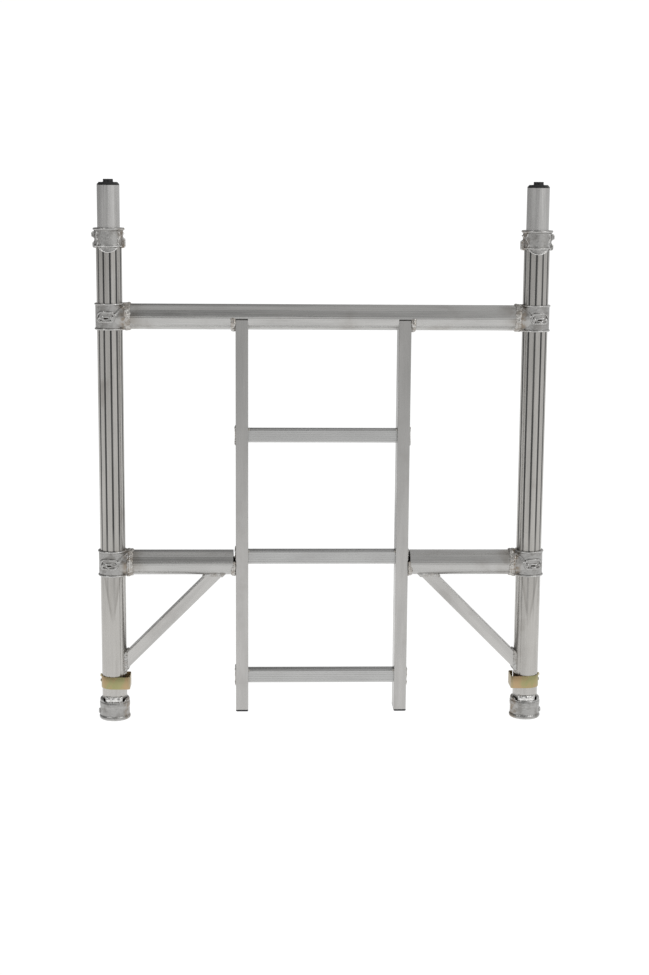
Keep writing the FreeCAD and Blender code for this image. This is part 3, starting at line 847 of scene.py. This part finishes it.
def brace_bead(joint, seed):
    """Smooth collar of weld where the square brace meets the leg or the ledger."""
    spots = []
    lean = math.sqrt(0.5)
    for along in (0.0, 2.8, 5.6):
        for u, y in square_path(BRACE_HALF + 0.4, 10):
            depth = math.sqrt(TUBE_R ** 2 - y ** 2)
            off, on = depth + along * lean, u / lean - BRACE_REACH
            if joint == "foot":
                x, z = -off, LOW_LEDGER_Z + on + off
            else:
                x, z = on + off, LOW_LEDGER_Z - off
            spots.append(((UPRIGHT_X + x, y, z), (2.6, 1.5, 2.6), (0, 0, 0)))
    bead = weld_run(joint, spots, seed, 0.6, 12, 4.0, 0.3, 0.15)
    inside = TUBE_R - 0.4
    if joint == "foot":
        return cut_with(bead, rod(inside, (UPRIGHT_X, 0, 60), (UPRIGHT_X, 0, 200)))
    return cut_with(bead, rod(inside, (150, 0, LOW_LEDGER_Z), (300, 0, LOW_LEDGER_Z)))


# ---- small parts ---------------------------------------------------------------------
def make_plug():
    """Plug in the spigot: guiding cone, stud with a gate mark, skirt inside."""
    top = SPIGOT_TOP + 0.1
    profile = [(17.4, top - 26), (17.4, top), (SPIGOT_R - 0.1, top), (SPIGOT_R, top + 0.7),
               (SPIGOT_R - 0.5, top + 1.5), (18.6, top + 5.1), (17.8, top + 5.5),
               (10.8, top + 5.5), (10.2, top + 5.8), (9.9, top + 6.4), (9.9, top + 10.6),
               (9.2, top + 11.4), (4.4, top + 11.4), (3.9, top + 10.7)]
    return turn_knob("plug", profile, 96)


def make_spigot():
    """Joining tube in the leg's head, with a hole for the next section's pin."""
    inner, root_r, low = 19.25, 22.7, 885
    profile = [(inner, low), (root_r, low), (root_r, TOP_Z - 0.4), (SPIGOT_R, TOP_Z),
               (SPIGOT_R, SPIGOT_TOP - 0.5), (SPIGOT_R - 0.5, SPIGOT_TOP), (inner, SPIGOT_TOP)]
    tube = turn_piece("spigot", profile, 128)
    return cut_with(tube, rod(3.3, (10, 0, TOP_Z + PIN_Z), (40, 0, TOP_Z + PIN_Z), 48))


def clip_line():
    """The strip's middle line in plan, about the leg: an arc, two corners and the hooked end."""
    line = []
    for index in range(31):
        angle = math.radians(60 - 5 * index)
        line.append((CLIP_R * math.cos(angle), CLIP_R * math.sin(angle)))
    bend = 4
    corner = CLIP_LEG - bend
    for index in range(7):
        angle = math.radians(-90 - 15 * index)
        line.append((-corner + bend * math.cos(angle), bend - CLIP_R + bend * math.sin(angle)))
    for index in range(7):
        angle = math.radians(180 - 15 * index)
        line.append((-corner + bend * math.cos(angle), 15 + bend * math.sin(angle)))
    line.append((-23.9, 19))
    return line


def make_clip():
    """Sprung strip bent round the leg, with its pull tab."""
    line = clip_line()
    put_down()
    bpy.ops.mesh.primitive_plane_add(size=1)
    strip = just_added("clip")
    open_up(strip)
    choose(strip, "VERT", lambda v: v.co.x < 0)
    bpy.ops.mesh.delete(type="VERT")
    bpy.ops.mesh.select_all(action="SELECT")
    mesh = bmesh.from_edit_mesh(strip.data)
    ends = sorted(mesh.verts, key=lambda v: v.co.y)
    for vertex, z in zip(ends, (CLIP_LOW, CLIP_HIGH)):
        vertex.co = Vector((*line[0], z)) * MM
    bmesh.update_edit_mesh(strip.data)
    for here, there in zip(line, line[1:]):
        step = Vector((there[0] - here[0], there[1] - here[1], 0)) * MM
        bpy.ops.mesh.extrude_edges_move(TRANSFORM_OT_translate={"value": step})
    put_down()
    work(strip, "SOLIDIFY", thickness=1.2 * MM, offset=0.0, use_even_offset=True)
    work(strip, "BEVEL", width=0.28 * MM, segments=2, limit_method="ANGLE",
         angle_limit=math.radians(50))
    tab = block((2.6, 8, 4), (27.7, 0, 90.5))
    soften_edges(tab, 0.7, 3, runs_along("Y"))
    strip = join("clip", [strip, tab])
    move(strip, UPRIGHT_X)
    return close_up(strip, 35)


def make_pin():
    """Lock pin: chamfered tip, neck through the strip, domed staked head."""
    profile = [(2.2, 19.65), (3.0, 20.45), (3.0, 25.5), (2.0, 25.5), (2.0, 27.1), (2.9, 27.1),
               (3.2, 27.5), (3.1, 28.2), (2.5, 28.8), (1.5, 29.08), (0.6, 29.1)]
    pin = turn_knob("pin", profile, 48)
    return move(pin, UPRIGHT_X, 0, PIN_Z, (0, math.pi / 2, 0))


# ---- putting it together -------------------------------------------------------------
def fit(piece, name, body, slot, finish, *nodes):
    piece.name = piece.data.name = name
    piece.data.materials.clear()
    piece.data.materials.append(finish)
    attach(piece, body)
    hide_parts(*nodes)


def fit_both(piece, name, bodies, slot, finish, node):
    """The right-hand piece and its copy on the left."""
    twin = copy_across(piece, "left_" + name)
    for side, part, body in (("right", piece, bodies[1]), ("left", twin, bodies[0])):
        fit(part, f"{side}_{name}", body, slot, finish, f"{side}_{node}")


FRAME = ("frame", "frame")
CLIPS = ("left_clip", "right_clip")


def make_tubes():
    tube, ledger = upright_finish(), ledger_finish()
    fit_both(make_upright(), "leg_tube", FRAME, "upright_tube", tube, "upright")
    long = move(make_ledger("long_ledger", -LEDGER_START, LEDGER_START), z=TOP_LEDGER_Z)
    fit(long, "long_ledger", "frame", "ledger_tube", ledger, "top_ledger")
    short = move(make_ledger("short_ledger", LEDGER_STOP, LEDGER_START), z=LOW_LEDGER_Z)
    fit_both(short, "short_ledger", FRAME, "ledger_tube", ledger, "lower_ledger")


def make_castings():
    cast = cast_finish()
    pieces = ((make_tee, ("high_tee", False), TOP_LEDGER_Z, "high_tee", "upper_tee"),
              (make_tee, ("low_tee", True), LOW_LEDGER_Z, "low_tee", "lower_tee"),
              (make_crown, (), 0, "crown", "top_collar"),
              (make_foot, (), 0, "foot", "base_collar"))
    for make, choices, z, name, node in pieces:
        fit_both(move(make(*choices), UPRIGHT_X, 0, z), name, FRAME, "casting", cast, node)


def branch_ring(z, inner, outer):
    """Two rounds of weld where a ledger enters its tee; each round is
    (offset, radius, half sizes, first angle, last angle, number of spots)."""
    spots = []
    for offset, radius, sizes, start, end, count in (inner, outer):
        spots += round_ledger(UPRIGHT_X - BRANCH_END + offset, radius, z, sizes, start, end, count)
    return spots


def make_welds():
    bright = weld_finish("bright_weld", (0.46, 0.45, 0.43), (0.68, 0.67, 0.65), 0.5, (0.2, 0.4))
    soft = weld_finish("brushed_weld", (0.46, 0.455, 0.44), (0.58, 0.575, 0.56), 0.3, (0.26, 0.4))
    scorched = weld_finish("scorched_weld", (0.45, 0.435, 0.41), (0.66, 0.645, 0.62), 0.5,
                           (0.32, 0.5))

    def lay(bead, name, finish, node):
        fit_both(bead, name, FRAME, "weld_bead", finish, node)

    ring = branch_ring(TOP_LEDGER_Z, (2.6, 25.3, (4.6, 3.4, 3.3), 0, 350, 36),
                       (-2.4, 24.9, (4.2, 3.6, 2.9), 5, 355, 32))
    lay(weld_run("ring", ring, 3, 0.7, 7, 3.0, 0.9), "high_branch_weld", scorched,
        "upper_tee_weld")

    ring = branch_ring(LOW_LEDGER_Z, (2.4, 25.4, (4.4, 2.8, 3.4), 0, 352, 40),
                       (-2.6, 25.0, (3.8, 2.7, 3.1), 4, 356, 40))
    ring_x = UPRIGHT_X - BRANCH_END
    ring.append(((ring_x - 1, -13, LOW_LEDGER_Z + 22.5), (6.0, 4.4, 4.4), (0, 0, 0)))
    ring.append(((ring_x + 1, -14, LOW_LEDGER_Z - 22.5), (7.6, 4.2, 3.6), (0, 0.5, 0)))
    ring = weld_run("ring", ring, 5, 0.7, 7, 3.0, 0.9)
    pit_x, pit_z = ring_x + 3, LOW_LEDGER_Z + 21
    cut_with(ring, rod(1.9, (pit_x, -40, pit_z), (pit_x, -10, pit_z), 24))
    lay(ring, "low_branch_weld", scorched, "lower_tee_weld")

    head = round_ledger(STILE_FACE_X + 4.4, 26.4, TOP_LEDGER_Z, (5.4, 2.8, 3.2), -64, 64, 24)
    for side in (-1, 1):
        head += [((STILE_FACE_X + 4.6, side * 25.6, TOP_LEDGER_Z - below),
                  (5.6, 3.0, 4.0), (0, 0, 0)) for below in (3, 7, 11, 15)]
    lay(weld_run("head", head, 7), "stile_head_bead", bright, "stile_head_weld")

    end = round_ledger(STILE_FACE_X + 3.2, 25.4, LOW_LEDGER_Z, (3.3, 3.4, 3.8), -96, 96, 30)
    end += round_ledger(STILE_FACE_X + 6.5, 25.8, LOW_LEDGER_Z, (3.4, 3.4, 2.2), -70, 70, 20)
    lay(weld_run("end", end, 9, 0.6, 5), "ledger_end_bead", scorched, "ledger_end_weld")

    lay(make_rung_welds(), "rung_end_welds", bright, "rung_welds")
    lay(brace_bead("foot", 11), "brace_foot_bead", soft, "brace_foot_weld")
    lay(brace_bead("head", 13), "brace_head_bead", soft, "brace_head_weld")


def make_small_parts():
    spigot = move(make_spigot(), UPRIGHT_X)
    fit_both(spigot, "spigot_tube", FRAME, "spigot_tube", spigot_finish(), "spigot")
    plug = move(make_plug(), UPRIGHT_X)
    fit_both(plug, "end_plug", FRAME, "black_plastic", plastic_finish(), "spigot_plug")
    fit_both(make_clip(), "clip_strip", CLIPS, "clip_steel", clip_finish(), "clip_band")
    fit_both(make_pin(), "clip_pin", CLIPS, "pin_steel", pin_finish(), "lock_pin")


def paint_nodes():
    """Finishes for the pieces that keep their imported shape."""
    stile, rung = stile_finish(), rung_finish()
    plastic = bpy.data.materials["black_plastic"]
    paint = {"left_stile": stile, "right_stile": stile,
             "rung_upper": rung, "rung_middle": rung, "rung_lower": rung,
             "left_stile_cap": plastic, "right_stile_cap": plastic,
             "left_brace": brace_finish("left_brace_aluminium", 45),
             "right_brace": brace_finish("right_brace_aluminium", -45)}
    for node, finish in paint.items():
        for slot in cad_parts[node].material_slots:
            slot.material = finish


# ---- studio --------------------------------------------------------------------------
PAPER_WHITE = 1.05  # a touch over full white


def plain_to_camera(tree, lit, plain, out):
    """The camera sees the plain shader; light and reflections meet the lit one."""
    seen = tree.nodes.new("ShaderNodeLightPath")
    pick = tree.nodes.new("ShaderNodeMixShader")
    tree.links.new(seen.outputs["Is Camera Ray"], pick.inputs[0])
    tree.links.new(lit.outputs[0], pick.inputs[1])
    tree.links.new(plain.outputs[0], pick.inputs[2])
    tree.links.new(pick.outputs[0], out.inputs["Surface"])


def make_floor():
    put_down()
    bpy.ops.mesh.primitive_plane_add(size=1, location=(0, 2.0, -0.0005), scale=(16, 13, 1))
    floor = just_added("floor")
    seat(floor)
    paper = Finish("floor_paper", Metallic=0.0)
    tone = paper.mix(paper.noise(3, 2), (0.90, 0.90, 0.90), (0.92, 0.92, 0.92))
    floor.data.materials.append(paper.done(tone, 0.9))
    glow = paper.nodes.new("ShaderNodeEmission")
    glow.inputs["Strength"].default_value = PAPER_WHITE
    plain_to_camera(paper.material.node_tree, paper.shader, glow, paper.nodes["Material Output"])


def make_sky():
    """Soft studio: white all round, dimmer low down in front, plain white as a backdrop."""
    world = bpy.data.worlds.new("studio")
    bpy.context.scene.world = world
    world.use_nodes = True
    nodes, links = world.node_tree.nodes, world.node_tree.links
    nodes.clear()
    place = nodes.new("ShaderNodeTexCoord")
    split = nodes.new("ShaderNodeSeparateXYZ")
    links.new(place.outputs["Generated"], split.inputs[0])

    def ramp(value, low, high, to_low, to_high):
        node = nodes.new("ShaderNodeMapRange")
        node.interpolation_type = "SMOOTHSTEP"
        links.new(value, node.inputs["Value"])
        ends = {"From Min": low, "From Max": high, "To Min": to_low, "To Max": to_high}
        for socket, number in ends.items():
            node.inputs[socket].default_value = number
        return node.outputs[0]

    def brighter(a, b):
        node = nodes.new("ShaderNodeMath")
        node.operation = "MAXIMUM"
        links.new(a, node.inputs[0])
        links.new(b, node.inputs[1])
        return node.outputs[0]

    room = ramp(split.outputs["X"], -0.06, 0.13, 0.23, 0.62)
    above = ramp(split.outputs["Z"], 0.74, 0.95, 0.0, 0.60)
    below = ramp(split.outputs["Z"], -0.24, 0.15, 0.97, 0.0)
    soft = nodes.new("ShaderNodeBackground")
    links.new(brighter(brighter(room, above), below), soft.inputs["Strength"])
    plain = nodes.new("ShaderNodeBackground")
    soft.inputs["Color"].default_value = plain.inputs["Color"].default_value = (1, 1, 1, 1)
    plain.inputs["Strength"].default_value = PAPER_WHITE
    plain_to_camera(world.node_tree, soft, plain, nodes.new("ShaderNodeOutputWorld"))


def make_lamp(name, place, aim, size, power):
    put_down()
    bpy.ops.object.light_add(type="AREA", location=place)
    lamp = bpy.context.object
    lamp.name = name
    lamp.data.shape = "RECTANGLE"
    lamp.data.size, lamp.data.size_y = size
    lamp.data.energy = power
    lamp.rotation_euler = (Vector(aim) - Vector(place)).to_track_quat("-Z", "Y").to_euler()


def make_camera():
    """Long lens level with the frame's top, looking a little down and a little to the right."""
    yaw, pitch, roll = (math.radians(a) for a in (2.1603, 9.9137, 0.4179))
    ahead = Vector((math.sin(yaw) * math.cos(pitch), math.cos(yaw) * math.cos(pitch),
                    -math.sin(pitch)))
    level = Vector((math.cos(yaw), -math.sin(yaw), 0))
    rise = level.cross(ahead)
    right = math.cos(roll) * level + math.sin(roll) * rise
    up = math.cos(roll) * rise - math.sin(roll) * level
    put_down()
    bpy.ops.object.camera_add()
    camera = bpy.context.object
    camera.name = "camera"
    camera.data.lens = 65.2
    camera.data.clip_end = 60
    turn = Matrix((right, up, -ahead)).transposed().to_4x4()
    camera.matrix_world = Matrix.Translation(Vector((-128.4, -3530.8, 1099.9)) * MM) @ turn
    bpy.context.scene.camera = camera


make_tubes()
make_castings()
make_welds()
make_small_parts()
paint_nodes()
make_floor()
make_sky()
make_lamp("left_softbox", (-2.4, -2.0, 2.6), (0, 0, 0.6), (1.2, 1.2), 16)
make_lamp("right_softbox", (2.6, -2.2, 2.4), (0, 0, 0.6), (1.2, 1.2), 18)
make_camera()
bpy.context.scene.view_settings.view_transform = "Standard"
